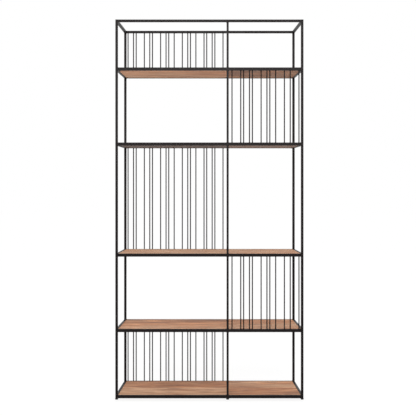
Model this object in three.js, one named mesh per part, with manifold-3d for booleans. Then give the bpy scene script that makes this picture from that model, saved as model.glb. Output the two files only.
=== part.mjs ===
// Tall open bookcase: a welded frame of square steel tube with five wooden shelves and
// irregularly spaced rods that screen alternate bays. Millimetres, +Z up, the open front
// faces -Y. The origin lies on the floor, below the middle of the frame.
import * as THREE from 'three';
import { mergeVertices } from 'three/addons/utils/BufferGeometryUtils.js';
import Module from 'manifold-3d';

const wasm = await Module();
wasm.setup();

// ---------------------------------------------------------------- driving dimensions
const FRONT_WIDTH = 990;            // outside the front posts
const BACK_WIDTH = 963;             // outside the back posts: both sides lean in to the wall
const DEPTH = 350;                  // front face of the front posts to back face of the back ones
const BAY_HEIGHTS = [348, 397, 585, 395, 252]; // top of each shelf to the next one's, or to the top
const MIDDLE_POST_X = 96;           // middle post and board joint, right of the centre

const TUBE = 13;                    // square tube of the corner posts and the top frame
const MIDDLE_TUBE = 11;             // width of the lighter middle post
const TUBE_WALL = 1;
const TUBE_CORNER = 1.5;            // outside corner radius of every tube
const POST_CAP = 1.5;               // plate welded over the top of a corner post
const SHELF_RAIL = 16;              // height of the rails round a shelf

const BOARD_CLEARANCE = 1;          // between a board and the rails round it
const BOARD_JOINT = 1;              // gap where the two boards of a shelf meet
const BOARD_ARRIS = 0.8;            // chamfer on the edges of a board

const TAB_THICKNESS = 2;            // steel tabs under the boards, flush with the rails' undersides
const TAB_LENGTH = 15;              // along the side rail, at each of its ends
const TAB_REACH = 15;               // how far a tab or a lip reaches in under the boards
const TAB_HOLE = 4.5;               // clearance hole for the board's screw
const TAB_HOLE_SIDES = 8;
const TAB_WELD = 0.5;               // how deep a tab is let into the tube wall
const BACK_LIP_WIDTH = 16;          // carries both boards where they meet at the back rail

const ROD = 6;                      // diameter of the screen rods
const ROD_SIDES = 12;
const ROD_WELD = 0.5;               // how deep a rod's foot is let into the tube wall
// Gaps between neighbouring rods, in rod pitches.
const BACK_ROD_GAPS = [2, 1, 3, 2, 1, 3, 2, 1, 2, 3, 2, 1, 2, 3, 1, 2, 1, 3];
const FRONT_ROD_GAPS = [3, 1, 2, 1, 3, 2, 1, 2, 3, 2, 3];
// Pitches from the centre of a post to the first and to the last rod.
const BACK_ROD_MARGINS = [1, 1.25];
const FRONT_ROD_MARGINS = [1.5, 1.1];

const INSERT_LENGTH = 20;           // threaded plug pressed into the foot of a post
const INSERT_FLANGE = 1;
const GLIDE_PAD = 6;                // height of the levelling glide's pad
const GLIDE_PAD_RADIUS = 8;
const GLIDE_PAD_ROUND = 2.5;
const GLIDE_SOLE_STEP = 0.6;
const GLIDE_STUD_RADIUS = 3;
const GLIDE_STUD_LENGTH = 24;
const GLIDE_STUD_CHAMFER = 0.8;
const GLIDE_SEGMENTS = 16;
const THREAD_CLEARANCE = 0.3;

const ARC_STEPS = 2;                // straight steps in each rounded corner
const CUT_MARGIN = 1;               // how far a cutting tool runs past the face that it opens
const MERGE_DISTANCE = 1e-4;        // vertices nearer than this are one

// ---------------------------------------------------------------- worked-out places
const FRAME_BOTTOM = GLIDE_PAD + INSERT_FLANGE;
const FIRST_SHELF_TOP = FRAME_BOTTOM + SHELF_RAIL;
const SHELF_TOPS = BAY_HEIGHTS.slice(0, -1).reduce(
  (tops, bay) => [...tops, tops.at(-1) + bay], [FIRST_SHELF_TOP]);
const HEIGHT = SHELF_TOPS.at(-1) + BAY_HEIGHTS.at(-1);

const FRONT_Y = -DEPTH / 2;
const BACK_Y = DEPTH / 2;
const FRONT_TUBE_Y = FRONT_Y + TUBE / 2;      // centre plane of the front posts and rails
const BACK_TUBE_Y = BACK_Y - TUBE / 2;
const INNER_FRONT_Y = FRONT_Y + TUBE;         // faces that the side rails and boards meet
const INNER_BACK_Y = BACK_Y - TUBE;
const INNER_DEPTH = INNER_BACK_Y - INNER_FRONT_Y;
const FRONT_POST_X = (FRONT_WIDTH - TUBE) / 2;
const BACK_POST_X = (BACK_WIDTH - TUBE) / 2;
const LEAN = (FRONT_POST_X - BACK_POST_X) / INNER_DEPTH; // how fast a side rail runs inwards
const POST_LENGTH = HEIGHT - FRAME_BOTTOM;
const TOP_RAIL_Z = HEIGHT - TUBE / 2;
// Undersides of the rails that close the bays, from the lowest bay to the top one.
const BAY_CEILINGS = [...SHELF_TOPS.slice(1).map((top) => top - SHELF_RAIL), HEIGHT - TUBE];
const TAB_Z = (TAB_THICKNESS - SHELF_RAIL) / 2; // middle of a tab below the middle of its rail

const SIDES = { left: -1, right: 1 };

// ---------------------------------------------------------------- materials
const steel = new THREE.MeshStandardMaterial({ color: 0x1d1b1b, roughness: 0.5, metalness: 0.35 });
const boardWood = new THREE.MeshStandardMaterial({ color: 0xb07f5e, roughness: 0.6, metalness: 0 });
const plastic = new THREE.MeshStandardMaterial({ color: 0x141414, roughness: 0.7, metalness: 0 });

// ---------------------------------------------------------------- solid helpers
function toManifold(geometry) {
  const bare = geometry.clone();
  bare.deleteAttribute('normal');
  bare.deleteAttribute('uv');
  const merged = mergeVertices(bare, MERGE_DISTANCE);
  return new wasm.Manifold(new wasm.Mesh({
    numProp: 3,
    vertProperties: new Float32Array(merged.attributes.position.array),
    triVerts: new Uint32Array(merged.index.array),
  }));
}

function toGeometry(manifold) {
  const mesh = manifold.getMesh();
  const geometry = new THREE.BufferGeometry();
  geometry.setAttribute('position', new THREE.BufferAttribute(mesh.vertProperties, 3));
  geometry.setIndex(new THREE.BufferAttribute(mesh.triVerts, 1));
  geometry.computeVertexNormals();
  return geometry;
}

function union(geometries) {
  const solids = geometries.map(toManifold);
  return toGeometry(solids.reduce((whole, solid) => whole.add(solid)));
}

function cut(geometry, tools) {
  const solids = tools.map(toManifold);
  return toGeometry(solids.reduce((whole, tool) => whole.subtract(tool), toManifold(geometry)));
}

function box(width, depth, height, x = 0, y = 0, z = 0) {
  return new THREE.BoxGeometry(width, depth, height).translate(x, y, z);
}

// An upright cylinder that stands on z.
function cylinder(radius, height, sides, x = 0, y = 0, z = 0) {
  const upright = new THREE.CylinderGeometry(radius, radius, height, sides).rotateX(Math.PI / 2);
  return upright.translate(x, y, z + height / 2);
}

function addPiece(parent, name, geometry, material, x = 0, y = 0, z = 0) {
  const mesh = new THREE.Mesh(geometry, material);
  mesh.name = name;
  mesh.position.set(x, y, z);
  parent.add(mesh);
  return mesh;
}

// ---------------------------------------------------------------- tube
function roundedRectangle(width, height, radius) {
  const shape = new THREE.Shape();
  const x = width / 2 - radius;
  const y = height / 2 - radius;
  shape.absarc(x, y, radius, 0, Math.PI / 2);
  shape.absarc(-x, y, radius, Math.PI / 2, Math.PI);
  shape.absarc(-x, -y, radius, Math.PI, 1.5 * Math.PI);
  shape.absarc(x, -y, radius, 1.5 * Math.PI, 2 * Math.PI);
  shape.closePath();
  return shape;
}

function rectangle(width, height) {
  const path = new THREE.Path();
  path.moveTo(-width / 2, -height / 2);
  path.lineTo(-width / 2, height / 2);
  path.lineTo(width / 2, height / 2);
  path.lineTo(width / 2, -height / 2);
  path.closePath();
  return path;
}

function extrudeUp(section, length) {
  return new THREE.ExtrudeGeometry(
    section, { depth: length, bevelEnabled: false, curveSegments: ARC_STEPS });
}

// A tube open at both ends, from z = 0 upwards.
function uprightTube(width, depth, length) {
  const section = roundedRectangle(width, depth, TUBE_CORNER);
  section.holes.push(rectangle(width - 2 * TUBE_WALL, depth - 2 * TUBE_WALL));
  return extrudeUp(section, length);
}

// Tubes that lie along X or Y, centred on the origin: the first turn lays the tube down.
function tubeAlongX(length, height) {
  return uprightTube(height, TUBE, length).translate(0, 0, -length / 2).rotateY(Math.PI / 2);
}

function tubeAlongY(length, height) {
  return uprightTube(TUBE, height, length).translate(0, 0, -length / 2).rotateX(-Math.PI / 2);
}

// ---------------------------------------------------------------- posts
function cornerPost() {
  const bar = extrudeUp(roundedRectangle(TUBE, TUBE, TUBE_CORNER), POST_LENGTH);
  const bore = TUBE - 2 * TUBE_WALL;
  const boreLength = POST_LENGTH - POST_CAP + CUT_MARGIN;
  return cut(bar, [box(bore, bore, boreLength, 0, 0, boreLength / 2 - CUT_MARGIN)]);
}

// A plain lip under the joint of two boards. It reaches towards +Y (or -Y) from a tube that is
// centred on the origin, and is let into the tube's wall.
function jointLip(direction, width) {
  const middle = direction * (TUBE + TAB_REACH - TAB_WELD) / 2;
  return box(width, TAB_REACH + TAB_WELD, TAB_THICKNESS, 0, middle);
}

// One lip for each level, flush with the undersides of the rails on both sides of the post.
function middlePost() {
  const lips = SHELF_TOPS.map((top) => jointLip(1, MIDDLE_TUBE - 2 * TUBE_CORNER)
    .translate(0, 0, top - SHELF_RAIL / 2 + TAB_Z - FRAME_BOTTOM));
  return union([uprightTube(MIDDLE_TUBE, TUBE, POST_LENGTH - TUBE), ...lips]);
}

// ---------------------------------------------------------------- rails
// Middle of each rod along X, between the centres of two posts.
function rodPlaces(from, to, gaps, [firstMargin, lastMargin]) {
  const pitches = gaps.reduce((sum, gap) => sum + gap, firstMargin + lastMargin);
  const pitch = (to - from) / pitches;
  return gaps.reduce(
    (places, gap) => [...places, places.at(-1) + gap * pitch], [from + firstMargin * pitch]);
}

// Rods that stand on a rail and reach up to the rail above.
function standingRods(places, length) {
  return places.map((x) => cylinder(
    ROD / 2, length + ROD_WELD, ROD_SIDES, x, 0, SHELF_RAIL / 2 - ROD_WELD));
}

function backRail(rodLength) {
  const tube = tubeAlongX(BACK_WIDTH - 2 * TUBE, SHELF_RAIL);
  const lip = jointLip(-1, BACK_LIP_WIDTH).translate(MIDDLE_POST_X, 0, TAB_Z);
  const places = rodPlaces(-BACK_POST_X, MIDDLE_POST_X, BACK_ROD_GAPS, BACK_ROD_MARGINS);
  const rods = rodLength ? standingRods(places, rodLength) : [];
  return union([tube, lip, ...rods]);
}

function plainFrontRail(from, to) {
  return tubeAlongX(to - from, SHELF_RAIL);
}

// Its rods stand between the middle post and the right one.
function screenedFrontRail(from, to, rodLength) {
  const places = rodPlaces(MIDDLE_POST_X, FRONT_POST_X, FRONT_ROD_GAPS, FRONT_ROD_MARGINS);
  const middle = (from + to) / 2;
  const rods = standingRods(places.map((x) => x - middle), rodLength);
  return union([plainFrontRail(from, to), ...rods]);
}

// A side rail keeps its section square to Y while it runs inwards to the back post.
function leanIn(geometry, side) {
  const lean = new THREE.Matrix4().makeShear(0, 0, -side * LEAN, 0, 0, 0);
  return geometry.applyMatrix4(lean);
}

function sideRail(height) {
  return tubeAlongY(INNER_DEPTH, height);
}

// A screw tab at each end reaches in under the board's corner.
function sideRailWithTabs(side) {
  const tabY = (INNER_DEPTH - TAB_LENGTH) / 2 - BOARD_CLEARANCE;
  const tabMiddle = -side * (TUBE + TAB_REACH - TAB_WELD) / 2;
  const holeX = -side * (TUBE + TAB_REACH) / 2;
  const tabs = [-tabY, tabY].map((y) => cut(
    box(TAB_REACH + TAB_WELD, TAB_LENGTH, TAB_THICKNESS, tabMiddle, y, TAB_Z),
    [cylinder(TAB_HOLE / 2, 2 * TAB_THICKNESS, TAB_HOLE_SIDES, holeX, y, TAB_Z - TAB_THICKNESS)]));
  return union([sideRail(SHELF_RAIL), ...tabs]);
}

// ---------------------------------------------------------------- boards
// Inner face of a side rail at a depth y, as a distance from the middle of the bookcase.
function innerSideX(y) {
  return FRONT_POST_X - TUBE / 2 - LEAN * (y - INNER_FRONT_Y);
}

function board(side) {
  const inner = MIDDLE_POST_X + side * BOARD_JOINT / 2;
  const front = INNER_FRONT_Y + BOARD_CLEARANCE;
  const back = INNER_BACK_Y - BOARD_CLEARANCE;
  const outline = new THREE.Shape([
    new THREE.Vector2(inner, front),
    new THREE.Vector2(side * (innerSideX(front) - BOARD_CLEARANCE), front),
    new THREE.Vector2(side * (innerSideX(back) - BOARD_CLEARANCE), back),
    new THREE.Vector2(inner, back),
  ]);
  const thickness = SHELF_RAIL - TAB_THICKNESS;
  return new THREE.ExtrudeGeometry(outline, {
    depth: thickness - 2 * BOARD_ARRIS,
    bevelThickness: BOARD_ARRIS,
    bevelSize: BOARD_ARRIS,
    bevelOffset: -BOARD_ARRIS,
    bevelSegments: 1,
  }).translate(0, 0, BOARD_ARRIS - thickness);
}

// ---------------------------------------------------------------- feet
function insert(tubeWidth) {
  const core = box(
    tubeWidth - 2 * TUBE_WALL, TUBE - 2 * TUBE_WALL, INSERT_LENGTH, 0, 0, INSERT_LENGTH / 2);
  const flange = box(tubeWidth, TUBE, INSERT_FLANGE, 0, 0, -INSERT_FLANGE / 2);
  const boreRadius = GLIDE_STUD_RADIUS + THREAD_CLEARANCE;
  const boreBottom = -INSERT_FLANGE - CUT_MARGIN;
  const boreLength = INSERT_LENGTH + CUT_MARGIN - boreBottom;
  const bore = cylinder(boreRadius, boreLength, GLIDE_SEGMENTS, 0, 0, boreBottom);
  return cut(union([core, flange]), [bore]);
}

// Half section of a glide from its sole up to the tip of its stud.
function glide() {
  const top = GLIDE_PAD + GLIDE_STUD_LENGTH;
  const roundCentre = GLIDE_PAD_RADIUS - GLIDE_PAD_ROUND;
  const profile = new THREE.Path();
  profile.moveTo(0, 0);
  profile.lineTo(roundCentre, 0);
  profile.absarc(roundCentre, GLIDE_PAD_ROUND, GLIDE_PAD_ROUND, -Math.PI / 2, 0);
  profile.lineTo(GLIDE_PAD_RADIUS, GLIDE_PAD - GLIDE_SOLE_STEP);
  profile.lineTo(GLIDE_PAD_RADIUS - GLIDE_SOLE_STEP, GLIDE_PAD);
  profile.lineTo(GLIDE_STUD_RADIUS, GLIDE_PAD);
  profile.lineTo(GLIDE_STUD_RADIUS, top - GLIDE_STUD_CHAMFER);
  profile.lineTo(GLIDE_STUD_RADIUS - GLIDE_STUD_CHAMFER, top);
  profile.lineTo(0, top);
  const half = new THREE.LatheGeometry(profile.getPoints(ARC_STEPS), GLIDE_SEGMENTS);
  return half.rotateX(Math.PI / 2);
}

// ---------------------------------------------------------------- assembly
const bookcase = new THREE.Group();

const posts = [
  { name: 'front_left', x: -FRONT_POST_X, y: FRONT_TUBE_Y, width: TUBE, shape: cornerPost },
  { name: 'front_right', x: FRONT_POST_X, y: FRONT_TUBE_Y, width: TUBE, shape: cornerPost },
  { name: 'back_left', x: -BACK_POST_X, y: BACK_TUBE_Y, width: TUBE, shape: cornerPost },
  { name: 'back_right', x: BACK_POST_X, y: BACK_TUBE_Y, width: TUBE, shape: cornerPost },
  { name: 'middle', x: MIDDLE_POST_X, y: FRONT_TUBE_Y, width: MIDDLE_TUBE, shape: middlePost },
];
for (const { name, x, y, width, shape } of posts) {
  const foot = new THREE.Group();
  foot.position.set(x, y, FRAME_BOTTOM);
  bookcase.add(foot);
  addPiece(foot, `${name}_post`, shape(), steel);
  addPiece(foot, `${name}_insert`, insert(width), plastic);
  addPiece(foot, `${name}_glide`, glide(), plastic, 0, 0, -FRAME_BOTTOM);
}

addPiece(bookcase, 'top_front_rail', tubeAlongX(FRONT_WIDTH - 2 * TUBE, TUBE), steel,
  0, FRONT_TUBE_Y, TOP_RAIL_Z);
addPiece(bookcase, 'top_back_rail', tubeAlongX(BACK_WIDTH - 2 * TUBE, TUBE), steel,
  0, BACK_TUBE_Y, TOP_RAIL_Z);
const sideRailX = (FRONT_POST_X + BACK_POST_X) / 2;
for (const [sideName, side] of Object.entries(SIDES)) {
  addPiece(bookcase, `top_${sideName}_rail`, leanIn(sideRail(TUBE), side), steel,
    side * sideRailX, 0, TOP_RAIL_Z);
}

const leftSpan = [-FRONT_POST_X + TUBE / 2, MIDDLE_POST_X - MIDDLE_TUBE / 2];
const rightSpan = [MIDDLE_POST_X + MIDDLE_TUBE / 2, FRONT_POST_X - TUBE / 2];
const middleOf = ([from, to]) => (from + to) / 2;
SHELF_TOPS.forEach((top, index) => {
  const name = `shelf_${index + 1}`;
  const level = new THREE.Group();
  level.position.z = top;
  bookcase.add(level);
  const railZ = -SHELF_RAIL / 2;
  const rodLength = BAY_CEILINGS[index] - top;
  const screenAtBack = index % 2 === 0; // the screens change sides from bay to bay
  addPiece(level, `${name}_back_rail`, backRail(screenAtBack ? rodLength : 0), steel,
    0, BACK_TUBE_Y, railZ);
  const rightRail = screenAtBack
    ? plainFrontRail(...rightSpan) : screenedFrontRail(...rightSpan, rodLength);
  addPiece(level, `${name}_front_rail_left`, plainFrontRail(...leftSpan), steel,
    middleOf(leftSpan), FRONT_TUBE_Y, railZ);
  addPiece(level, `${name}_front_rail_right`, rightRail, steel,
    middleOf(rightSpan), FRONT_TUBE_Y, railZ);
  for (const [sideName, side] of Object.entries(SIDES)) {
    addPiece(level, `${name}_side_rail_${sideName}`, leanIn(sideRailWithTabs(side), side), steel,
      side * sideRailX, 0, railZ);
    addPiece(level, `${name}_board_${sideName}`, board(side), boardWood);
  }
});

export default bookcase;
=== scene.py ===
"""Looks of a tall open bookcase: black powder-coated tube and rod, brown planked shelves.

Everything is in metres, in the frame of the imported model: +Z up, the open front faces -Y.
"""
import math
import random

import bpy
from mathutils import Matrix, Vector


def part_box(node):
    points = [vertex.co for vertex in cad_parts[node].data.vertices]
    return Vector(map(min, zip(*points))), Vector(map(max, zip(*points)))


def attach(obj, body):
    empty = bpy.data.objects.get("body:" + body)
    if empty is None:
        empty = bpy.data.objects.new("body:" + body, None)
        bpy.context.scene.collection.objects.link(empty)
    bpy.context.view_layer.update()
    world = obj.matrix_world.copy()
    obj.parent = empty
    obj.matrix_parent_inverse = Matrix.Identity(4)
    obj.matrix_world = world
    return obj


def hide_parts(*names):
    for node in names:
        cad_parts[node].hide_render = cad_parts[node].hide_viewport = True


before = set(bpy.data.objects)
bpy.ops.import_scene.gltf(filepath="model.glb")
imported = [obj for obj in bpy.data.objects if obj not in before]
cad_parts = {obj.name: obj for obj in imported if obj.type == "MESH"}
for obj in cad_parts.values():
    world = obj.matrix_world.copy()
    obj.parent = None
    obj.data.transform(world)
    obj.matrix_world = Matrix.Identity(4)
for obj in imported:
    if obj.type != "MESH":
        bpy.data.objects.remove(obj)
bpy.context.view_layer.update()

MM = 0.001
FRAME_BODY = "frame"

# ---------------------------------------------------------------- driving sizes of the finish
TUBE_CORNER = 1.5 * MM
TUBE_WALL = 1.0 * MM
CORNER_STEPS = 4
SHARP_ANGLE = 38                    # degrees: an edge that turns more than this shows as sharp
CAP_ROUND = 0.6 * MM                # softened edge of the plate on top of a corner post
CAP_THICKNESS = 1.5 * MM

ROD_RADIUS = 3.0 * MM
ROD_SEGMENTS = 20
ROD_WELD_WIDTH = 1.1 * MM           # how far the weld round a rod's end spreads
ROD_WELD_HEIGHT = 1.7 * MM
ROD_WELD_STEPS = 4
ROD_WELD_LUMPS = 3                  # swellings round one rod's end
ROD_WELD_LUMP = 0.07                # share of the radius by which they swell
# Gaps between neighbouring rods, in rod pitches, and the margins to the posts' centres.
BACK_ROD_GAPS = (2, 1, 3, 2, 1, 3, 2, 1, 2, 3, 2, 1, 2, 3, 1, 2, 1, 3)
BACK_ROD_MARGINS = (1, 1.25)
FRONT_ROD_GAPS = (3, 1, 2, 1, 3, 2, 1, 2, 3, 2, 3)
FRONT_ROD_MARGINS = (1.5, 1.1)

BEAD_SIZE = 1.5 * MM                # leg of a fillet weld between two tubes
BEAD_PITCH = 1.3 * MM               # length of one ripple
BEAD_RIPPLE = 0.12                  # share by which a ripple swells and shrinks
BEAD_UNEVEN = 0.04                  # share by which one ripple differs from the next
BEAD_END = 0.6                      # share of its size that is left at a bead's ends
BEAD_BELLY = 0.14                   # share of the leg by which a bead bulges
BEAD_STEPS = 4
BEAD_ROOT = 0.1 * MM                # how far a bead reaches into the tubes
SEAM_PROUD = 0.05 * MM              # what grinding leaves of a flush weld
SEAM_MARGIN = 0.6 * TUBE_CORNER     # from a seam's ends to the rail's edges

TAB_LENGTH = 15 * MM
TAB_REACH = 15 * MM
TAB_THICKNESS = 2 * MM
TAB_CORNER = 1.2 * MM
TAB_EASE = 0.3 * MM                 # softened edges of the laser-cut tabs
TAB_HOLE_RADIUS = 2.25 * MM
BOARD_CLEARANCE = 1 * MM
BACK_LIP_WIDTH = 16 * MM
MIDDLE_LIP_WIDTH = 7 * MM

SCREW_HEAD_RADIUS = 4.2 * MM
SCREW_HEAD_HEIGHT = 1.5 * MM
SCREW_FLAT_RADIUS = 0.05 * MM       # the flat in the middle of the dome
SCREW_CROSS_WIDTH = 1.1 * MM
SCREW_CROSS_REACH = 2.4 * MM
SCREW_CROSS_DEPTH = 1.0 * MM
SCREW_SEGMENTS = 48
SCREW_RINGS = 16

PLANKS = 4                          # staves glued edge to edge in one board
BOARD_ROUND = 1.2 * MM
BOARD_END_ROUND = 0.95              # share of the rounding that is used up at a board's ends
BOARD_SHARP_ANGLE = 50
ROUND_STEPS = 4
GLUE_LINE_WIDTH = 0.22 * MM
GLUE_LINE_DEPTH = 0.18 * MM

STUD_RADIUS = 2.95 * MM
STUD_ROOT = 2.5 * MM
STUD_TIP = 0.8 * MM                 # chamfer at the tip
THREAD_PITCH = 1.0 * MM
THREAD_ROWS = 6                     # rows of vertices in one turn of the thread
THREAD_SHARP_ANGLE = 180            # no edge of a thread is sharp
STUD_SEGMENTS = 24
PAD_SEGMENTS = 48
PAD_HEIGHT = 6 * MM
PAD_ROUND = 2.5 * MM
PAD_STEP = 0.6 * MM
FLANGE = 1 * MM                     # the insert's rim between the post and the glide
INSERT_BORE_RADIUS = 3.3 * MM

# ---------------------------------------------------------------- places from the frame
POSTS = ("front_left", "front_right", "back_left", "back_right", "middle")
LEVELS = tuple(f"shelf_{number}" for number in range(1, 6))
SIDES = {"left": -1, "right": 1}


def centre(node):
    low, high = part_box(node)
    return (low + high) / 2


post_box = {post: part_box(f"{post}_post") for post in POSTS}
TUBE = post_box["front_left"][1].x - post_box["front_left"][0].x
MIDDLE_TUBE = post_box["middle"][1].x - post_box["middle"][0].x
FRONT_Y = centre("front_left_post").y
BACK_Y = centre("back_left_post").y
INNER_FRONT_Y = FRONT_Y + TUBE / 2
INNER_BACK_Y = BACK_Y - TUBE / 2
MIDDLE_X = centre("middle_post").x
FRONT_X = centre("front_right_post").x
BACK_X = centre("back_right_post").x
TOP_Z = post_box["front_left"][1].z
FRAME_BOTTOM = post_box["front_left"][0].z
shelf_top = {level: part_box(f"{level}_board_left")[1].z for level in LEVELS}
RAIL = shelf_top["shelf_1"] - FRAME_BOTTOM


def side_centre_x(side, y):
    """Middle of a side rail at a depth y: the sides run inwards from the front to the back."""
    share = (y - INNER_FRONT_Y) / (INNER_BACK_Y - INNER_FRONT_Y)
    return side * (FRONT_X + (BACK_X - FRONT_X) * share)


# ---------------------------------------------------------------- camera
CAMERA_DISTANCE = 4.793             # from the middle of the bookcase to the eye
EYE_HEIGHT = 1.124
SENSOR = 36.0
LENS = 75.98
SHIFT_X = -0.0034
SHIFT_Y = -0.0529


def make_camera():
    data = bpy.data.cameras.new("camera")
    data.sensor_width = SENSOR
    data.lens = LENS
    data.shift_x = SHIFT_X
    data.shift_y = SHIFT_Y
    camera = bpy.data.objects.new("camera", data)
    camera.location = (0, -CAMERA_DISTANCE, EYE_HEIGHT)
    camera.rotation_euler = (math.pi / 2, 0, 0)
    bpy.context.scene.collection.objects.link(camera)
    bpy.context.scene.camera = camera


make_camera()


# ---------------------------------------------------------------- node helpers
class Graph:
    """Short names for making and joining the nodes of one material or world."""

    def __init__(self, tree):
        self.tree = tree
        tree.nodes.clear()

    def add(self, kind, inputs=None, **settings):
        node = self.tree.nodes.new(kind)
        for name, value in settings.items():
            setattr(node, name, value)
        for name, value in (inputs or {}).items():
            self.feed(node, name, value)
        return node

    def feed(self, node, name, value):
        if isinstance(value, bpy.types.NodeSocket):
            self.tree.links.new(value, node.inputs[name])
        else:
            node.inputs[name].default_value = value

    def noise(self, coordinates, scale, detail=2.0, roughness=0.5):
        inputs = {"Vector": coordinates, "Scale": scale, "Detail": detail, "Roughness": roughness}
        return self.add("ShaderNodeTexNoise", inputs).outputs["Fac"]

    def scaled(self, coordinates, scale):
        node = self.add("ShaderNodeVectorMath", {0: coordinates, 1: scale}, operation="MULTIPLY")
        return node.outputs[0]

    def math(self, operation, first, second=0.0, third=0.0):
        node = self.add("ShaderNodeMath", {0: first, 1: second, 2: third}, operation=operation)
        return node.outputs[0]

    def span(self, value, low, high, to_low=0.0, to_high=1.0):
        inputs = {
            "Value": value, "From Min": low, "From Max": high, "To Min": to_low, "To Max": to_high}
        return self.add("ShaderNodeMapRange", inputs, clamp=True).outputs["Result"]

    def mix(self, factor, first, second, blend="MIX"):
        node = self.add("ShaderNodeMix", data_type="RGBA", blend_type=blend)
        self.feed(node, 0, factor)
        self.feed(node, 6, first)
        self.feed(node, 7, second)
        return node.outputs[2]

    def attribute(self, name):
        return self.add("ShaderNodeAttribute", attribute_name=name)

    def bump(self, shader, strength, distance, height):
        inputs = {"Strength": strength, "Distance": distance, "Height": height}
        self.feed(shader, "Normal", self.add("ShaderNodeBump", inputs).outputs[0])


def linear(red, green, blue):
    """A colour written in sRGB, 0 to 255, as the linear numbers that a shader takes."""
    def channel(value):
        value /= 255
        return value / 12.92 if value <= 0.04045 else ((value + 0.055) / 1.055) ** 2.4
    return (channel(red), channel(green), channel(blue), 1.0)


def grey(level):
    return (level, level, level, 1.0)


def new_material(name):
    material = bpy.data.materials.new(name)
    material.use_nodes = True
    graph = Graph(material.node_tree)
    shader = graph.add("ShaderNodeBsdfPrincipled")
    output = graph.add("ShaderNodeOutputMaterial")
    graph.feed(output, "Surface", shader.outputs[0])
    return material, graph, shader


# ---------------------------------------------------------------- materials
COAT_DARK = linear(13, 9, 9)
COAT_LIGHT = linear(21, 15, 15)
COAT_RUBBED = linear(62, 58, 56)
COAT_ROUGHNESS = (0.38, 0.46)
COAT_SPECULAR = 0.09
COAT_PEEL = 0.06 * MM

# Each kind of wood has a darker and a paler cloud.
WOOD_DARK = (linear(112, 84, 68), linear(146, 110, 90))
WOOD_REDDISH = (linear(174, 115, 80), linear(242, 178, 133))
WOOD_TAN = (linear(194, 150, 117), linear(242, 201, 166))
WOOD_DARK_MOTTLE = linear(132, 88, 64)
WOOD_PALE_MOTTLE = linear(224, 184, 148)
WOOD_LATE = linear(122, 80, 58)
WOOD_DARK_STREAK = linear(139, 96, 72)
WOOD_PALE_STREAK = linear(220, 180, 146)
WOOD_FIBRE = linear(118, 80, 60)
WOOD_PORE = linear(70, 43, 31)
WOOD_WORN = linear(206, 168, 136)
# painted shade: the smoky grey that darkens the undersides given the darkest tones
WOOD_PAINTED_SHADE = linear(72, 67, 65)
WOOD_DRIFT = 0.55                   # how far a plank's tone drifts along its length
WOOD_ROUGHNESS = (0.72, 0.6)        # between the late wood's lines and on them
WOOD_SPECULAR = 0.15
WOOD_RELIEF = 0.12 * MM

PLASTIC_PLAIN = linear(15, 15, 16)
PLASTIC_SCUFFED = linear(38, 37, 37)
PLASTIC_ROUGHNESS = (0.48, 0.66)
PLASTIC_SPECULAR = 0.35
PLASTIC_GRAIN = 0.04 * MM

PLATING_STAIN = 0.15                # how much rougher the stains are than the plating
PLATING_MARKS = 0.03 * MM


def powder_coat():
    """Fine matt black powder coat: orange peel, faint clouds, corners rubbed a little lighter."""
    material, graph, shader = new_material("black_powder_coat")
    place = graph.add("ShaderNodeTexCoord").outputs["Object"]
    clouds = graph.noise(place, 14, 3)
    peel = graph.noise(place, 1100, 2, 0.6)
    grains = graph.noise(place, 3400, 1)
    tint = graph.mix(clouds, COAT_DARK, COAT_LIGHT)
    patches = graph.span(graph.noise(place, 90, 3), 0.45, 0.7)
    rub = graph.math("MULTIPLY", graph.attribute("wear").outputs["Fac"], patches)
    tint = graph.mix(graph.math("MULTIPLY", rub, 0.35), tint, COAT_RUBBED)
    graph.feed(shader, "Base Color", tint)
    graph.feed(shader, "Roughness", graph.span(clouds, 0.3, 0.7, *COAT_ROUGHNESS))
    graph.feed(shader, "Specular IOR Level", COAT_SPECULAR)
    height = graph.math("ADD", peel, graph.math("MULTIPLY", grains, 0.4))
    graph.bump(shader, 0.35, COAT_PEEL, height)
    return material


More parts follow.
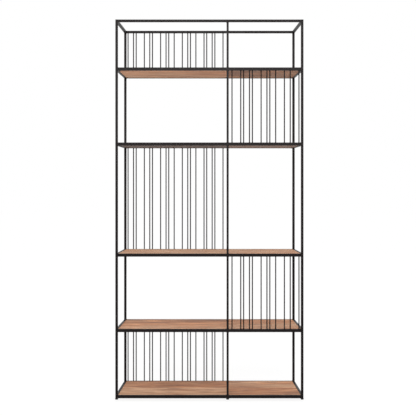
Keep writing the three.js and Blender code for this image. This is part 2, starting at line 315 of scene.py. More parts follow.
def plank_wood():
    """Oiled solid wood. Each plank brings its own place in the log and its own tone.

    The scales are per metre, along the log and across it.
    """
    material, graph, shader = new_material("oiled_plank_wood")
    grain = graph.attribute("grain").outputs["Vector"]
    slow_noise = graph.noise(graph.scaled(grain, (4.5, 12, 12)), 1, 2)
    drift = graph.span(slow_noise, 0.3, 0.7, -WOOD_DRIFT, WOOD_DRIFT)
    # the tone attribute carries each plank's stain and, on some undersides, painted shade
    stain_and_shade = graph.attribute("tone").outputs["Fac"]
    tone = graph.math("ADD", stain_and_shade, drift)

    inputs = {
        "Vector": graph.scaled(grain, (0.22, 1, 1)), "Scale": 46, "Distortion": 3.2, "Detail": 3,
        "Detail Scale": 0.7, "Detail Roughness": 0.6}
    rings = graph.add(
        "ShaderNodeTexWave", inputs, wave_type="RINGS", rings_direction="X", wave_profile="SIN")
    ring = rings.outputs["Fac"]
    cloud = graph.span(graph.noise(graph.scaled(grain, (2.2, 26, 26)), 1, 3, 0.55), 0.34, 0.66)
    mottle = graph.noise(graph.scaled(grain, (9, 60, 60)), 1, 3, 0.6)
    streak = graph.noise(graph.scaled(grain, (3.5, 210, 210)), 1, 4, 0.62)
    fibre = graph.noise(graph.scaled(grain, (14, 1300, 1300)), 1, 2, 0.55)
    pore = graph.span(graph.noise(graph.scaled(grain, (95, 2100, 2100)), 1, 1), 0.64, 0.72)

    late = graph.span(ring, 0.35, 1.0)
    wear = graph.attribute("wear").outputs["Fac"]
    reddish = graph.mix(cloud, *WOOD_REDDISH)
    tan = graph.mix(cloud, *WOOD_TAN)
    colour = graph.mix(cloud, *WOOD_DARK)
    layers = (
        (graph.span(tone, -1, 0), reddish),
        (graph.span(tone, 0, 1), tan),
        (graph.span(mottle, 0.48, 0.75, 0.0, 0.6), WOOD_DARK_MOTTLE),
        (graph.span(mottle, 0.52, 0.25, 0.0, 0.6), WOOD_PALE_MOTTLE),
        (graph.math("MULTIPLY", late, 0.5), WOOD_LATE),
        (graph.span(streak, 0.35, 0.7, 0.0, 0.42), WOOD_DARK_STREAK),
        (graph.span(streak, 0.5, 0.3, 0.0, 0.3), WOOD_PALE_STREAK),
        (graph.span(fibre, 0.4, 0.75, 0.0, 0.22), WOOD_FIBRE),
        (graph.math("MULTIPLY", pore, 0.5), WOOD_PORE),
        (graph.math("MULTIPLY", wear, 0.3), WOOD_WORN),
        # painted shade: tones below -1, carried only by shaded undersides, turn the wood smoky
        # grey
        (graph.span(stain_and_shade, -1, -2, 0.0, 0.8), WOOD_PAINTED_SHADE))
    for strength, layer in layers:
        colour = graph.mix(strength, colour, layer)
    graph.feed(shader, "Base Color", colour)
    graph.feed(shader, "Roughness", graph.span(ring, 0, 1, *WOOD_ROUGHNESS))
    graph.feed(shader, "Specular IOR Level", WOOD_SPECULAR)
    height = graph.math("SUBTRACT", graph.math("MULTIPLY", streak, 0.5), pore)
    height = graph.math("ADD", height, graph.math("MULTIPLY", late, 0.35))
    graph.bump(shader, 0.4, WOOD_RELIEF, height)
    return material


def moulded_plastic():
    """Black moulded polypropylene: satin, with a fine spark-eroded grain and scuffed edges."""
    material, graph, shader = new_material("black_moulded_plastic")
    place = graph.add("ShaderNodeTexCoord").outputs["Object"]
    scuffs = graph.noise(place, 260, 3, 0.6)
    spark = graph.noise(place, 2600, 2)
    scuffed = graph.span(scuffs, 0.45, 0.75, 0.0, 0.5)
    graph.feed(shader, "Base Color", graph.mix(scuffed, PLASTIC_PLAIN, PLASTIC_SCUFFED))
    graph.feed(shader, "Roughness", graph.span(scuffs, 0.3, 0.7, *PLASTIC_ROUGHNESS))
    graph.feed(shader, "Specular IOR Level", PLASTIC_SPECULAR)
    graph.bump(shader, 0.3, PLASTIC_GRAIN, spark)
    return material


def bare_steel(name, light, dark, roughness):
    """Plated screws and studs: thin plating with faint stains and turning marks."""
    material, graph, shader = new_material(name)
    place = graph.add("ShaderNodeTexCoord").outputs["Object"]
    stains = graph.noise(place, 420, 3, 0.6)
    turned = graph.noise(graph.scaled(place, (1, 1, 30)), 300, 2)
    graph.feed(shader, "Base Color", graph.mix(stains, dark, light))
    graph.feed(shader, "Metallic", 1.0)
    rough = graph.span(stains, 0.3, 0.7, roughness, roughness + PLATING_STAIN)
    graph.feed(shader, "Roughness", rough)
    graph.bump(shader, 0.25, PLATING_MARKS, turned)
    return material


STEEL = powder_coat()
WOOD = plank_wood()
PLASTIC = moulded_plastic()
SCREW = bare_steel("black_zinc", linear(74, 72, 72), linear(46, 45, 46), 0.38)
ZINC = bare_steel("bright_zinc", linear(176, 178, 180), linear(136, 138, 142), 0.28)


# ---------------------------------------------------------------- mesh helpers
class Skin:
    """Vertices and faces of a piece, with the notes that its material reads."""

    def __init__(self):
        self.points = []
        self.wear = []
        self.faces = []
        self.planks = []            # which plank a face belongs to, on boards only

    def ring(self, points, wear=0.0):
        """Adds a ring of points and returns their numbers. wear is one number or one for each."""
        first = len(self.points)
        self.points.extend(points)
        count = len(self.points) - first
        self.wear.extend([wear] * count if isinstance(wear, (int, float)) else wear)
        return list(range(first, first + count))

    def bridge(self, low, high):
        """Joins two rings that run anticlockwise seen from the second one's side."""
        for index, corner in enumerate(low):
            after = (index + 1) % len(low)
            self.faces.append((corner, low[after], high[after], high[index]))

    def loft(self, rings, start=True, end=True):
        """Joins a row of rings and closes its ends."""
        for low, high in zip(rings, rings[1:]):
            self.bridge(low, high)
        if start:
            self.faces.append(tuple(reversed(rings[0])))
        if end:
            self.faces.append(tuple(rings[-1]))


def make_piece(name, skin, material, body=FRAME_BODY, nodes=(), sharp=SHARP_ANGLE):
    mesh = bpy.data.meshes.new(name)
    mesh.from_pydata([tuple(point) for point in skin.points], [], skin.faces)
    wear = mesh.attributes.new("wear", "FLOAT", "POINT")
    wear.data.foreach_set("value", skin.wear)
    mesh.materials.append(material)
    mesh.shade_smooth()
    mesh.set_sharp_from_angle(angle=math.radians(sharp))
    piece = bpy.data.objects.new(name, mesh)
    bpy.context.scene.collection.objects.link(piece)
    flats = piece.modifiers.new("flats_stay_flat", "WEIGHTED_NORMAL")
    flats.keep_sharp = True
    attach(piece, body)
    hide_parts(*nodes)
    return piece


def rounded_section(width, depth, radius, steps=CORNER_STEPS):
    """A rounded rectangle as (u, v, wear), anticlockwise. wear is 1 in the middle of a corner."""
    section = []
    for quarter, (side_u, side_v) in enumerate(((1, 1), (-1, 1), (-1, -1), (1, -1))):
        for step in range(steps + 1):
            angle = (quarter + step / steps) * math.pi / 2
            u = side_u * (width / 2 - radius) + radius * math.cos(angle)
            v = side_v * (depth / 2 - radius) + radius * math.sin(angle)
            section.append((u, v, math.sin(step / steps * math.pi)))
    return section


def upright(x, y):
    return lambda u, v, along: (x + u, y + v, along)


def along_x(y, z):
    return lambda u, v, along: (along, y + u, z + v)


def along_side(side, z):
    """Runs from front to back with the lean of a side. The section stays square to Y."""
    return lambda u, v, along: (side_centre_x(side, along) + v, along, z + u)


def section_ring(skin, section, place, along):
    points = [place(u, v, along) for u, v, _ in section]
    return skin.ring(points, [wear for _, _, wear in section])


def hole_ring(skin, section, x, y, radius, z):
    """A round ring with one point for each point of the section round it."""
    angles = [math.atan2(v, u) for u, v, _ in section]
    return skin.ring([(x + radius * math.cos(a), y + radius * math.sin(a), z) for a in angles])


def add_tube(skin, place, width, depth, start, end):
    """A hollow tube with open ends and rounded corners."""
    outer = rounded_section(width, depth, TUBE_CORNER)
    bore = rounded_section(width - 2 * TUBE_WALL, depth - 2 * TUBE_WALL, TUBE_CORNER - TUBE_WALL)
    rings = [section_ring(skin, outer, place, along) for along in (start, end)]
    inner = [section_ring(skin, bore, place, along) for along in (end, start)]
    skin.loft(rings + inner + rings[:1], start=False, end=False)


def add_capped_post(skin, place, start, end):
    """A corner post: hollow from below, closed by a plate with softened edges."""
    outer = rounded_section(TUBE, TUBE, TUBE_CORNER)
    rings = [section_ring(skin, outer, place, start)]
    for step in range(ROUND_STEPS + 1):
        angle = step / ROUND_STEPS * math.pi / 2
        inset = CAP_ROUND * (1 - math.cos(angle))
        shrunk = rounded_section(TUBE - 2 * inset, TUBE - 2 * inset, TUBE_CORNER - inset)
        rings.append(section_ring(skin, shrunk, place, end - CAP_ROUND * (1 - math.sin(angle))))
    bore_width = TUBE - 2 * TUBE_WALL
    bore = rounded_section(bore_width, bore_width, TUBE_CORNER - TUBE_WALL)
    inner = [section_ring(skin, bore, place, along) for along in (start, end - CAP_THICKNESS)]
    skin.loft(rings, start=False)
    skin.loft(inner[::-1], start=False, end=False)
    skin.faces.append(tuple(reversed(inner[1])))
    skin.bridge(inner[0], rings[0])


def lathe(skin, x, y, profile, segments, bulge=None):
    """Turns (radius, z) points about an upright axis, from the bottom to the top."""
    rings = []
    for radius, z in profile:
        points = []
        for segment in range(segments):
            angle = 2 * math.pi * segment / segments
            swell = bulge(angle, z) if bulge else 1
            points.append(
                (x + radius * swell * math.cos(angle), y + radius * swell * math.sin(angle), z))
        rings.append(skin.ring(points))
    skin.loft(rings)


# ---------------------------------------------------------------- welds
def add_bead(skin, start, end, out_a, out_b, rng):
    """A rippled fillet weld from start to end, in the corner of faces that look along a and b."""
    start, end, out_a, out_b = Vector(start), Vector(end), Vector(out_a), Vector(out_b)
    if (end - start).dot(out_a.cross(out_b)) < 0:
        start, end = end, start
    ripples = max(2, round((end - start).length / BEAD_PITCH))
    rings = []
    for row in range(2 * ripples + 1):
        swell = 1 + BEAD_RIPPLE * (1 if row % 2 else -1) + rng.uniform(-BEAD_UNEVEN, BEAD_UNEVEN)
        if row in (0, 2 * ripples):
            swell = BEAD_END
        leg = BEAD_SIZE * swell
        here = start.lerp(end, row / (2 * ripples))
        points = [here - BEAD_ROOT * (out_a + out_b)]
        for step in range(BEAD_STEPS + 1):
            share = step / BEAD_STEPS
            belly = BEAD_BELLY * leg * math.sin(share * math.pi)
            along_a = (1 - share) * leg + belly
            along_b = share * leg + belly
            points.append(here + out_a * along_a + out_b * along_b)
        rings.append(skin.ring(points))
    skin.loft(rings)


def add_flush_seam(skin, start, end, towards_post, inwards):
    """Ground weld that fills the groove between a rail's end and a post's rounded corner."""
    start, end = Vector(start), Vector(end)
    towards_post, inwards = Vector(towards_post), Vector(inwards)
    if (end - start).dot(towards_post.cross(inwards)) < 0:
        start, end = end, start
    profile = [(-BEAD_ROOT, 0), (0, -SEAM_PROUD), (TUBE_CORNER, -SEAM_PROUD)]
    for step in range(1, ROUND_STEPS):
        angle = step / ROUND_STEPS * math.pi / 2
        profile.append((TUBE_CORNER * (1 - math.sin(angle)), TUBE_CORNER * (1 - math.cos(angle))))
    profile += [(0, TUBE_CORNER), (-BEAD_ROOT, TUBE_CORNER)]
    rings = []
    for here in (start, end):
        rings.append(skin.ring([here + a * towards_post + b * inwards for a, b in profile]))
    skin.loft(rings)


def add_rail_end_welds(skin, x, side, y, outer_y, low, high, rng, closed_above=False):
    """Welds where a rail along X meets a post: x is the post's face, side points to the post."""
    face = TUBE / 2 - TUBE_CORNER
    for z, up in ((low, -1), (high, 1)):
        if up > 0 and closed_above:
            continue
        add_bead(skin, (x, y - face, z), (x, y + face, z), (-side, 0, 0), (0, 0, up), rng)
    inwards = (0, 1, 0) if outer_y < y else (0, -1, 0)
    start, end = (x, outer_y, low + SEAM_MARGIN), (x, outer_y, high - SEAM_MARGIN)
    add_flush_seam(skin, start, end, (side, 0, 0), inwards)


def add_side_end_welds(skin, side, y, towards, low, high, rng, closed_above=False):
    """Welds where a side rail meets a corner post: towards is the way along Y to the post."""
    x = side_centre_x(side, y)
    face = TUBE / 2 - TUBE_CORNER
    for z, up in ((low, -1), (high, 1)):
        if up > 0 and closed_above:
            continue
        add_bead(skin, (x - face, y, z), (x + face, y, z), (0, -towards, 0), (0, 0, up), rng)
    outer_x = x + side * TUBE / 2
    start, end = (outer_x, y, low + SEAM_MARGIN), (outer_x, y, high - SEAM_MARGIN)
    add_flush_seam(skin, start, end, (0, towards, 0), (-side, 0, 0))


# ---------------------------------------------------------------- posts
def build_post(post):
    low, high = post_box[post]
    middle = (low + high) / 2
    skin = Skin()
    if post == "middle":
        add_tube(skin, upright(MIDDLE_X, FRONT_Y), MIDDLE_TUBE, TUBE, low.z, high.z)
        rng = random.Random(f"{post} post")
        for level in LEVELS:
            add_plate(skin, MIDDLE_X, INNER_FRONT_Y + TAB_REACH / 2, plate_bottom(level),
                      MIDDLE_LIP_WIDTH, TAB_REACH)
        for side in SIDES.values():
            x = MIDDLE_X + side * MIDDLE_TUBE / 2
            face = TUBE / 2 - TUBE_CORNER
            add_bead(skin, (x, FRONT_Y - face, high.z), (x, FRONT_Y + face, high.z),
                     (side, 0, 0), (0, 0, -1), rng)
    else:
        add_capped_post(skin, upright(middle.x, middle.y), low.z, high.z)
    make_piece(f"{post}_post_tube", skin, STEEL, nodes=[f"{post}_post"])


# ---------------------------------------------------------------- tabs and lips under the boards
def plate_bottom(level):
    return shelf_top[level] - RAIL


def add_plate(skin, x, y, bottom, width, depth, hole_radius=0.0):
    """A small laser-cut plate with eased edges, and a screw hole in its middle if asked."""
    levels = (
        (bottom, TAB_EASE), (bottom + TAB_EASE, 0),
        (bottom + TAB_THICKNESS - TAB_EASE, 0), (bottom + TAB_THICKNESS, TAB_EASE))
    outer = []
    for z, inset in levels:
        section = rounded_section(
            width - 2 * inset, depth - 2 * inset, TAB_CORNER - inset, ROUND_STEPS)
        outer.append(section_ring(skin, section, upright(x, y), z))
    if not hole_radius:
        skin.loft(outer)
        return
    section = rounded_section(width, depth, TAB_CORNER, ROUND_STEPS)
    inner = [
        hole_ring(skin, section, x, y, hole_radius, z) for z in (bottom + TAB_THICKNESS, bottom)]
    skin.loft(outer + inner + outer[:1], start=False, end=False)


# ---------------------------------------------------------------- rails and rods
def rod_places(start, end, gaps, margins):
    pitch = (end - start) / (sum(gaps) + sum(margins))
    places = [start + margins[0] * pitch]
    for gap in gaps:
        places.append(places[-1] + gap * pitch)
    return places


def add_rod(skin, x, y, bottom, top, rng):
    """A round rod with the small painted weld that spreads round each of its ends."""
    phase = rng.uniform(0, 2 * math.pi)

    def swell(angle, z):
        near = max(0.0, 1 - min(z - bottom, top - z) / ROD_WELD_HEIGHT)
        return 1 + ROD_WELD_LUMP * near * math.sin(ROD_WELD_LUMPS * angle + phase)

    flare = []
    for step in range(ROD_WELD_STEPS + 1):
        share = step / ROD_WELD_STEPS
        flare.append((ROD_RADIUS + ROD_WELD_WIDTH * (1 - share) ** 2, share * ROD_WELD_HEIGHT))
    profile = [(radius, bottom + rise) for radius, rise in flare]
    profile += [(radius, top - rise) for radius, rise in reversed(flare)]
    lathe(skin, x, y, profile, ROD_SEGMENTS, swell)


def bay_ceiling(level):
    """Underside of the rail above a shelf."""
    index = LEVELS.index(level) + 1
    return shelf_top[LEVELS[index]] - RAIL if index < len(LEVELS) else TOP_Z - TUBE


def build_back_rail(level, with_rods):
    top = shelf_top[level]
    low = top - RAIL
    half = BACK_X - TUBE / 2
    rng = random.Random(f"{level} back")
    skin = Skin()
    add_tube(skin, along_x(BACK_Y, (low + top) / 2), TUBE, RAIL, -half, half)
    for side in SIDES.values():
        add_rail_end_welds(skin, side * half, side, BACK_Y, BACK_Y + TUBE / 2, low, top, rng)
    add_plate(skin, MIDDLE_X, INNER_BACK_Y - TAB_REACH / 2, low, BACK_LIP_WIDTH, TAB_REACH)
    make_piece(f"{level}_back_rail_tube", skin, STEEL, nodes=[f"{level}_back_rail"])
    if with_rods:
        places = rod_places(-BACK_X, MIDDLE_X, BACK_ROD_GAPS, BACK_ROD_MARGINS)
        build_screen(f"{level}_back_rods", places, BACK_Y, level, f"{level}_back_rail")


def build_front_rails(level, with_rods):
    top = shelf_top[level]
    low = top - RAIL
    outer = FRONT_X - TUBE / 2
    gap = MIDDLE_TUBE / 2
    spans = {"left": (-outer, MIDDLE_X - gap), "right": (MIDDLE_X + gap, outer)}
    for side_name, (start, end) in spans.items():
        rng = random.Random(f"{level} front {side_name}")
        node = f"{level}_front_rail_{side_name}"
        skin = Skin()
        add_tube(skin, along_x(FRONT_Y, (low + top) / 2), TUBE, RAIL, start, end)
        for x, side in ((start, -1), (end, 1)):
            add_rail_end_welds(skin, x, side, FRONT_Y, FRONT_Y - TUBE / 2, low, top, rng)
            if abs(x - MIDDLE_X) < MIDDLE_TUBE:
                add_flush_seam(skin, (x, INNER_FRONT_Y, low + SEAM_MARGIN),
                               (x, INNER_FRONT_Y, top - SEAM_MARGIN), (side, 0, 0), (0, -1, 0))
        make_piece(f"{node}_tube", skin, STEEL, nodes=[node])
    if with_rods:
        places = rod_places(MIDDLE_X, FRONT_X, FRONT_ROD_GAPS, FRONT_ROD_MARGINS)
        build_screen(f"{level}_front_rods", places, FRONT_Y, level, f"{level}_front_rail_right")


def build_screen(name, places, y, level, node):
    rng = random.Random(name)
    skin = Skin()
    for x in places:
        add_rod(skin, x, y, shelf_top[level], bay_ceiling(level), rng)
    make_piece(name, skin, STEEL, nodes=[node])


def build_side_rail(level, side_name):
    side = SIDES[side_name]
    top = shelf_top[level]
    low = top - RAIL
    rng = random.Random(f"{level} side {side_name}")
    skin = Skin()
    add_tube(skin, along_side(side, (low + top) / 2), RAIL, TUBE, INNER_FRONT_Y, INNER_BACK_Y)
    for y, towards in ((INNER_FRONT_Y, -1), (INNER_BACK_Y, 1)):
        add_side_end_welds(skin, side, y, towards, low, top, rng)
        tab_x, tab_y = tab_centre(side, towards)
        add_plate(skin, tab_x, tab_y, low, TAB_REACH, TAB_LENGTH, TAB_HOLE_RADIUS)
    node = f"{level}_side_rail_{side_name}"
    make_piece(f"{node}_tube", skin, STEEL, nodes=[node])


def tab_centre(side, towards):
    """Middle of the screw tab at the front (towards = -1) or the back end of a side rail."""
    y = towards * ((INNER_BACK_Y - INNER_FRONT_Y - TAB_LENGTH) / 2 - BOARD_CLEARANCE)
    return side_centre_x(side, y) - side * (TUBE + TAB_REACH) / 2, y


def build_top_frame():
    bottom = TOP_Z - TUBE
    centre_z = TOP_Z - TUBE / 2
    for name, y, post_x in (("front", FRONT_Y, FRONT_X), ("back", BACK_Y, BACK_X)):
        half = post_x - TUBE / 2
        rng = random.Random(f"top {name}")
        skin = Skin()
        add_tube(skin, along_x(y, centre_z), TUBE, TUBE, -half, half)
        outer_y = y - TUBE / 2 if name == "front" else y + TUBE / 2
        for side in SIDES.values():
            add_rail_end_welds(skin, side * half, side, y, outer_y, bottom, TOP_Z, rng,
                               closed_above=True)
        make_piece(f"top_{name}_rail_tube", skin, STEEL, nodes=[f"top_{name}_rail"])
    for side_name, side in SIDES.items():
        rng = random.Random(f"top {side_name}")
        skin = Skin()
        add_tube(skin, along_side(side, centre_z), TUBE, TUBE, INNER_FRONT_Y, INNER_BACK_Y)
        for y, towards in ((INNER_FRONT_Y, -1), (INNER_BACK_Y, 1)):
            add_side_end_welds(skin, side, y, towards, bottom, TOP_Z, rng, closed_above=True)
        node = f"top_{side_name}_rail"
        make_piece(f"{node}_tube", skin, STEEL, nodes=[node])


# ---------------------------------------------------------------- boards
# Tone of each plank from the front to the back: -2 is smoky grey, reached only by the painted
# shade on undersides, -1 dark, 0 reddish brown, 1 tan.
PLANK_TONES = {
    "shelf_1_board_left": (1.3, 1.05, -0.1, -0.3),
    "shelf_1_board_right": (-0.4, 0.0, 0.75, 0.45),
    "shelf_2_board_left": (0.8, 0.2, -0.25, -0.5),
    "shelf_2_board_right": (0.8, 1.0, 0.1, -0.2),
    "shelf_3_board_left": (1.0, 0.8, 0.6, 0.7),
    "shelf_3_board_right": (0.4, 0.8, 0.6, 0.8),
    "shelf_4_board_left": (0.2, 0.1, 0.3, 0.2),
    "shelf_4_board_right": (0.3, 0.2, 0.4, 0.3),
    "shelf_5_board_left": (0.35, 0.3, 0.75, 0.9),
    "shelf_5_board_right": (0.1, 0.2, 0.3, 0.4),
}
# Painted shade: tones that make the undersides of these boards darker than their tops.
UNDERSIDE_PAINTED_SHADE = {
    "shelf_4_board_left": -1.85, "shelf_4_board_right": -1.45, "shelf_5_board_right": -0.85}
FACING_DOWN = -0.5                  # normals below this belong to an underside
# The log that the planks are sawn from: its length, and how far a plank lies from its heart.
LOG_LENGTH = 9
LOG_ASIDE = 0.03
LOG_DEPTH = (0.03, 0.11)
SAWN_TURN = 0.03                    # radians by which a plank's cut strays from the log's axis
SAWN_DIP = 0.05


def board_profile(front, back, low, high, inset):
    """(y, z, wear, plank) round a board, anticlockwise seen from +X, shrunk by inset."""
    radius = BOARD_ROUND - BOARD_END_ROUND * inset
    corners = ((front, low, 2), (back, low, 3), (back, high, 0), (front, high, 1))
    plank_width = (back - front) / PLANKS
    joints = [front + plank_width * number for number in range(1, PLANKS)]
    profile = []

    def turn(index):
        corner_y, corner_z, quarter = corners[index]
        middle_y = corner_y + (BOARD_ROUND if corner_y == front else -BOARD_ROUND)
        middle_z = corner_z + (BOARD_ROUND if corner_z == low else -BOARD_ROUND)
        plank = 0 if corner_y == front else PLANKS - 1
        for step in range(ROUND_STEPS + 1):
            angle = (quarter + step / ROUND_STEPS) * math.pi / 2
            wear = math.sin(step / ROUND_STEPS * math.pi)
            y, z = middle_y + radius * math.cos(angle), middle_z + radius * math.sin(angle)
            profile.append((y, z, wear, plank))

    def groove(joint, number, face, depth, way):
        before, after = (number, number + 1) if way > 0 else (number + 1, number)
        profile.append((joint - way * GLUE_LINE_WIDTH, face, 0.0, before))
        profile.append((joint, face + depth, 0.0, None))
        profile.append((joint + way * GLUE_LINE_WIDTH, face, 0.0, after))

    turn(0)
    for number, joint in enumerate(joints):
        groove(joint, number, low + inset, GLUE_LINE_DEPTH, 1)
    turn(1)
    turn(2)
    for number, joint in reversed(list(enumerate(joints))):
        groove(joint, number, high - inset, -GLUE_LINE_DEPTH, -1)
    turn(3)
    return profile


def build_board(level, side_name):
    """Planks of one board as one closed skin, with fine glue lines and rounded edges."""
    name = f"{level}_board_{side_name}"
    side = SIDES[side_name]
    low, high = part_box(name)
    inner = low.x if side > 0 else high.x
    tone = PLANK_TONES[name]
    skin = Skin()

    def outer(y):
        return side_centre_x(side, y) - side * (TUBE / 2 + BOARD_CLEARANCE)

    steps = []
    for step in range(ROUND_STEPS + 1):
        angle = step / ROUND_STEPS * math.pi / 2
        steps.append((BOARD_ROUND * (1 - math.sin(angle)), BOARD_ROUND * (1 - math.cos(angle))))
    # Each row: how far in from an end, how much the profile shrinks there, and which end.
    rows = [(in_from_end, shrink, "inner") for shrink, in_from_end in steps]
    rows += [(in_from_end, shrink, "outer") for shrink, in_from_end in reversed(steps)]
    rings = []
    for in_from_end, shrink, end in rows:
        profile = board_profile(low.y, high.y, low.z, high.z, shrink)
        points = []
        for y, z, _, _ in profile:
            x = inner + side * in_from_end if end == "inner" else outer(y) - side * in_from_end
            points.append((x, y, z))
        rings.append(skin.ring(points, [wear for _, _, wear, _ in profile]))
    planks = [plank for _, _, _, plank in profile]
    count = len(planks)
    for first, second in zip(rings, rings[1:]):
        for index in range(count):
            after = (index + 1) % count
            quad = (first[index], first[after], second[after], second[index])
            skin.faces.append(quad if side > 0 else tuple(reversed(quad)))
            plank = planks[index] if planks[index] is not None else planks[after]
            skin.planks.append(plank)
    for ring, outwards in ((rings[0], side < 0), (rings[-1], side > 0)):
        for number in range(PLANKS):
            cap = end_cap(ring, planks, number)
            skin.faces.append(tuple(cap if outwards else reversed(cap)))
            skin.planks.append(number)
    board = make_piece(
        f"{name}_planks", skin, WOOD, nodes=[name], sharp=BOARD_SHARP_ANGLE)
    write_grain(board, skin, tone, UNDERSIDE_PAINTED_SHADE.get(name), low, high)


def end_cap(ring, planks, number):
    """The part of a board's end that belongs to one plank, between its two glue lines."""
    chosen = []
    count = len(ring)
    for index in range(count):
        beside = (planks[index - 1], planks[(index + 1) % count])
        if planks[index] == number or (planks[index] is None and number in beside):
            chosen.append(ring[index])
    return chosen


def write_grain(board, skin, tone, underside_shade, low, high):
    """Gives each plank its tone and its own place in the log, so that no two look the same; on the
    boards listed, the undersides take a darker painted shade instead.
    """
    mesh = board.data
    rng = random.Random(board.name)
    width = (high.y - low.y) / PLANKS
    moves = []
    for number in range(PLANKS):
        middle = Vector(((low.x + high.x) / 2, low.y + width * (number + 0.5), high.z))
        tilt = Matrix.Rotation(rng.uniform(-SAWN_TURN, SAWN_TURN), 4, "Z")
        tilt = tilt @ Matrix.Rotation(rng.uniform(-SAWN_DIP, SAWN_DIP), 4, "Y")
        place = Vector((rng.uniform(-LOG_LENGTH, LOG_LENGTH), rng.uniform(-LOG_ASIDE, LOG_ASIDE),
                        rng.uniform(*LOG_DEPTH)))
        moves.append(Matrix.Translation(place) @ tilt @ Matrix.Translation(-middle))
    grains = []
    tones_and_shade = []
    for face, plank in zip(mesh.polygons, skin.planks):
        # painted shade: faces that look down take the darker underside tone instead of their
        # plank's tone
        painted_shade = underside_shade is not None and face.normal.z < FACING_DOWN
        for corner in face.vertices:
            grains.extend(moves[plank] @ mesh.vertices[corner].co)
            tones_and_shade.append(underside_shade if painted_shade else tone[plank])
    grain = mesh.attributes.new("grain", "FLOAT_VECTOR", "CORNER")
    grain.data.foreach_set("vector", grains)
    stain_and_shade = mesh.attributes.new("tone", "FLOAT", "CORNER")
    stain_and_shade.data.foreach_set("value", tones_and_shade)


# ---------------------------------------------------------------- screws under the boards
def add_screw(skin, x, y, top, turn):
    """A low pan head that hangs below top, with a cross recess turned by an angle."""
    rings = []
    for number in range(SCREW_RINGS + 1):
        share = number / SCREW_RINGS
        radius = max(SCREW_FLAT_RADIUS, SCREW_HEAD_RADIUS * math.sin(share * math.pi / 2))
        dome = SCREW_HEAD_HEIGHT * math.sqrt(max(0.0, 1 - (radius / SCREW_HEAD_RADIUS) ** 4))
        points = []
        for segment in range(SCREW_SEGMENTS):
            angle = 2 * math.pi * segment / SCREW_SEGMENTS
            u, v = radius * math.cos(angle - turn), radius * math.sin(angle - turn)
            thin = min(abs(u), abs(v)) < SCREW_CROSS_WIDTH / 2
            cut = SCREW_CROSS_DEPTH if thin and radius < SCREW_CROSS_REACH else 0.0
            points.append(
                (x + radius * math.cos(angle), y + radius * math.sin(angle), top - dome + cut))
        rings.append(skin.ring(points))
    skin.loft(rings)


def build_screws(level):
    rng = random.Random(f"{level} screws")
    skin = Skin()
    for side in SIDES.values():
        for towards in (-1, 1):
            x, y = tab_centre(side, towards)
            add_screw(skin, x, y, plate_bottom(level), rng.uniform(0, math.pi / 2))
    make_piece(f"{level}_board_screws", skin, SCREW)


# ---------------------------------------------------------------- feet
def build_insert(post):
    """The plastic plug in a post's foot. Only its rim shows, between the post and the glide."""
    node = f"{post}_insert"
    low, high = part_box(node)
    middle = (low + high) / 2
    width, depth = high.x - low.x, high.y - low.y
    rim = rounded_section(width, depth, TUBE_CORNER)
    core = rounded_section(width - 2 * TUBE_WALL, depth - 2 * TUBE_WALL, TUBE_CORNER - TUBE_WALL)
    place = upright(middle.x, middle.y)
    skin = Skin()
    outer = [
        section_ring(skin, rim, place, low.z), section_ring(skin, rim, place, low.z + FLANGE),
        section_ring(skin, core, place, low.z + FLANGE), section_ring(skin, core, place, high.z)]
    bore = [
        hole_ring(skin, core, middle.x, middle.y, INSERT_BORE_RADIUS, z) for z in (high.z, low.z)]
    skin.loft(outer + bore + outer[:1], start=False, end=False)
    make_piece(f"{node}_plug", skin, PLASTIC, nodes=[node])


def build_glide(post):
    """A moulded pad on a threaded stud."""
    node = f"{post}_glide"
    low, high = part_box(node)
    x, y = (low.x + high.x) / 2, (low.y + high.y) / 2
    radius = (high.x - low.x) / 2
    pad = []
    for step in range(ROUND_STEPS + 1):
        angle = step / ROUND_STEPS * math.pi / 2
        inset, rise = PAD_ROUND * (1 - math.sin(angle)), PAD_ROUND * (1 - math.cos(angle))
        pad.append((radius - inset, low.z + rise))
    pad_top = low.z + PAD_HEIGHT
    pad += [(radius, pad_top - PAD_STEP), (radius - PAD_STEP / 4, pad_top - PAD_STEP / 4),
            (radius - PAD_STEP, pad_top), (STUD_RADIUS, pad_top)]
    skin = Skin()
    lathe(skin, x, y, pad, PAD_SEGMENTS)
    make_piece(f"{node}_pad", skin, PLASTIC, f"{post}_foot", [node])

    def thread(angle, z):
        turns = (z - pad_top) / THREAD_PITCH - angle / (2 * math.pi)
        crest = 1 - abs(2 * (turns % 1) - 1)
        near_tip = min(1.0, (high.z - z) / STUD_TIP)
        return (STUD_ROOT + (STUD_RADIUS - STUD_ROOT) * crest * near_tip) / STUD_RADIUS

    rows = round((high.z - pad_top) / THREAD_PITCH * THREAD_ROWS)
    stud = [(STUD_RADIUS, pad_top + (high.z - pad_top) * row / rows) for row in range(rows + 1)]
    skin = Skin()
    lathe(skin, x, y, stud, STUD_SEGMENTS, thread)
    make_piece(f"{node}_stud", skin, ZINC, f"{post}_foot", [node],
               sharp=THREAD_SHARP_ANGLE)


# ---------------------------------------------------------------- assembly
for post in POSTS:
    build_post(post)
    build_insert(post)
    build_glide(post)
build_top_frame()
for index, level in enumerate(LEVELS):
    screen_at_back = index % 2 == 0
    build_back_rail(level, screen_at_back)
    build_front_rails(level, not screen_at_back)
    for side_name in SIDES:
        build_side_rail(level, side_name)
        build_board(level, side_name)
    build_screws(level)


# ---------------------------------------------------------------- floor, world and lamps
FLOOR_SIZE = 60.0
FLOOR_Z = -10 * MM                  # as low as the glides reach when they are screwed right out
FLOOR_MATT = 0.96                   # what the light itself meets
FLOOR_SHADE = 0.14                  # the part of the floor's seen white that a shadow can darken
FLOOR_GLOW = 0.885                  # the rest of it
AMBIENT = 0.83
KEY_PLACE = (0, -3.6, 2.45)
KEY_TARGET = (0, 0, 1.5)
KEY_WIDTH = 2.4
KEY_HEIGHT = 1.8
KEY_POWER = 112.0                   # watts


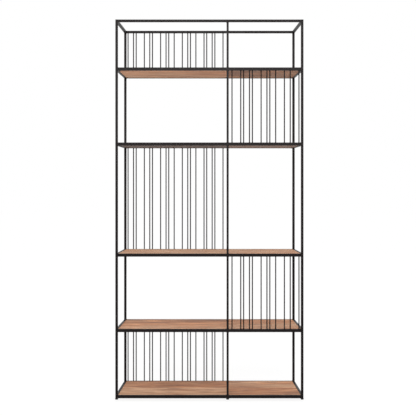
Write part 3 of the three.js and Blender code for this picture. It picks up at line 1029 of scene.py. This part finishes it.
def seen_directly(graph):
    """1 for rays from the eye and for reflections, which see white; 0 for the light itself."""
    path = graph.add("ShaderNodeLightPath").outputs
    direct = graph.math("MAXIMUM", path["Is Camera Ray"], path["Is Glossy Ray"])
    return graph.math("MAXIMUM", direct, path["Is Transmission Ray"])


def make_floor():
    """White to the eye, with the bookcase's faint soft shadow; a pale matt floor to the light."""
    material = bpy.data.materials.new("white_floor")
    material.use_nodes = True
    graph = Graph(material.node_tree)
    matt = graph.add("ShaderNodeBsdfDiffuse", {"Color": grey(FLOOR_MATT)})
    shade = graph.add("ShaderNodeBsdfDiffuse", {"Color": grey(FLOOR_SHADE)})
    glow = graph.add("ShaderNodeEmission", {"Color": grey(1), "Strength": FLOOR_GLOW})
    shown = graph.add("ShaderNodeAddShader", {0: shade.outputs[0], 1: glow.outputs[0]})
    surface = graph.add("ShaderNodeMixShader", {
        0: seen_directly(graph), 1: matt.outputs[0], 2: shown.outputs[0]})
    graph.add("ShaderNodeOutputMaterial", {"Surface": surface.outputs[0]})
    mesh = bpy.data.meshes.new("floor")
    half = FLOOR_SIZE / 2
    square = ((-half, -half), (half, -half), (half, half), (-half, half))
    mesh.from_pydata([(x, y, FLOOR_Z) for x, y in square], [], [(0, 1, 2, 3)])
    mesh.materials.append(material)
    floor = bpy.data.objects.new("floor", mesh)
    bpy.context.scene.collection.objects.link(floor)


def make_world():
    world = bpy.data.worlds.new("studio")
    bpy.context.scene.world = world
    world.use_nodes = True
    graph = Graph(world.node_tree)
    light = graph.add("ShaderNodeBackground", {"Color": grey(1), "Strength": AMBIENT})
    white = graph.add("ShaderNodeBackground", {"Color": grey(1), "Strength": 1.0})
    both = graph.add("ShaderNodeMixShader", {
        0: seen_directly(graph), 1: light.outputs[0], 2: white.outputs[0]})
    graph.add("ShaderNodeOutputWorld", {"Surface": both.outputs[0]})


def make_softbox(name, place, target, width, height, power):
    data = bpy.data.lights.new(name, "AREA")
    data.shape = "RECTANGLE"
    data.size = width
    data.size_y = height
    data.energy = power
    lamp = bpy.data.objects.new(name, data)
    lamp.location = place
    lamp.rotation_euler = (Vector(target) - Vector(place)).to_track_quat("-Z", "Y").to_euler()
    bpy.context.scene.collection.objects.link(lamp)


make_floor()
make_world()
make_softbox("key", KEY_PLACE, KEY_TARGET, KEY_WIDTH, KEY_HEIGHT, KEY_POWER)
bpy.context.scene.view_settings.view_transform = "Standard"
